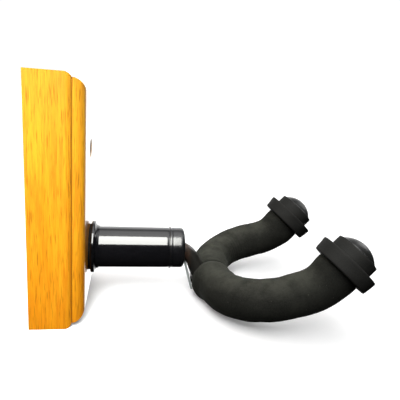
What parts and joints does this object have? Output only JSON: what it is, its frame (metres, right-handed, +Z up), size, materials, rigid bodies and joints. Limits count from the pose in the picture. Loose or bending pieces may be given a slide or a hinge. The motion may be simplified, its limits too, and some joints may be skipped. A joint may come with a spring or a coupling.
{
  "type": "wall guitar hanger",
  "caption": "Wall hanger for a guitar: wood block with a tube, and a foam-covered fork with stop discs that swivels on a bent steel stem.",
  "frame": {"origin": "centre of the wood block's wall face", "axes": "+X out of the wall, +Z up, +Y to the right of a person who faces the wall"},
  "size_m": [0.1691, 0.1142, 0.121],
  "materials": {
    "lacquered_wood": "clear gloss lacquer over honey-coloured wood",
    "black_enamel": "gloss black",
    "black_rubber": "matte",
    "charcoal_foam": "matte closed-cell foam",
    "black_plastic": "semi-gloss",
    "browned_steel": "dark brown lacquered steel",
    "plain_steel": "bare",
    "bright_plate": "bright plated",
    "zinc_plate": "zinc plated",
    "nylon": "satin",
    "blue_nylon": "satin"
  },
  "bodies": {
    "base": {"wall_block": "lacquered_wood", "base_grommet": "black_rubber", "flange_ring": "black_enamel", "spacer_tube": "black_enamel", "end_cap": "black_enamel", "rear_bush": "nylon", "front_bush": "nylon", "rear_washer": "zinc_plate"},
    "yoke": {"stem_rod": "browned_steel", "thrust_collar": "plain_steel", "lock_nut": "zinc_plate", "nylon_insert": "blue_nylon", "fork_rod": "plain_steel", "weld_bead": "browned_steel", "seam_plate": "bright_plate", "foam_sleeve_left": "charcoal_foam", "foam_sleeve_right": "charcoal_foam", "stop_washer_left": "black_rubber", "stop_washer_right": "black_rubber", "end_collar_left": "black_rubber", "end_collar_right": "black_rubber", "dome_cap_left": "black_plastic", "dome_cap_right": "black_plastic"}
  },
  "joints": [
    {"name": "yoke_swivel", "type": "hinge", "parent": "base", "child": "yoke", "pos_m": [0.05, 0, -0.03], "axis": [1, 0, 0], "continuous": true}
  ]
}
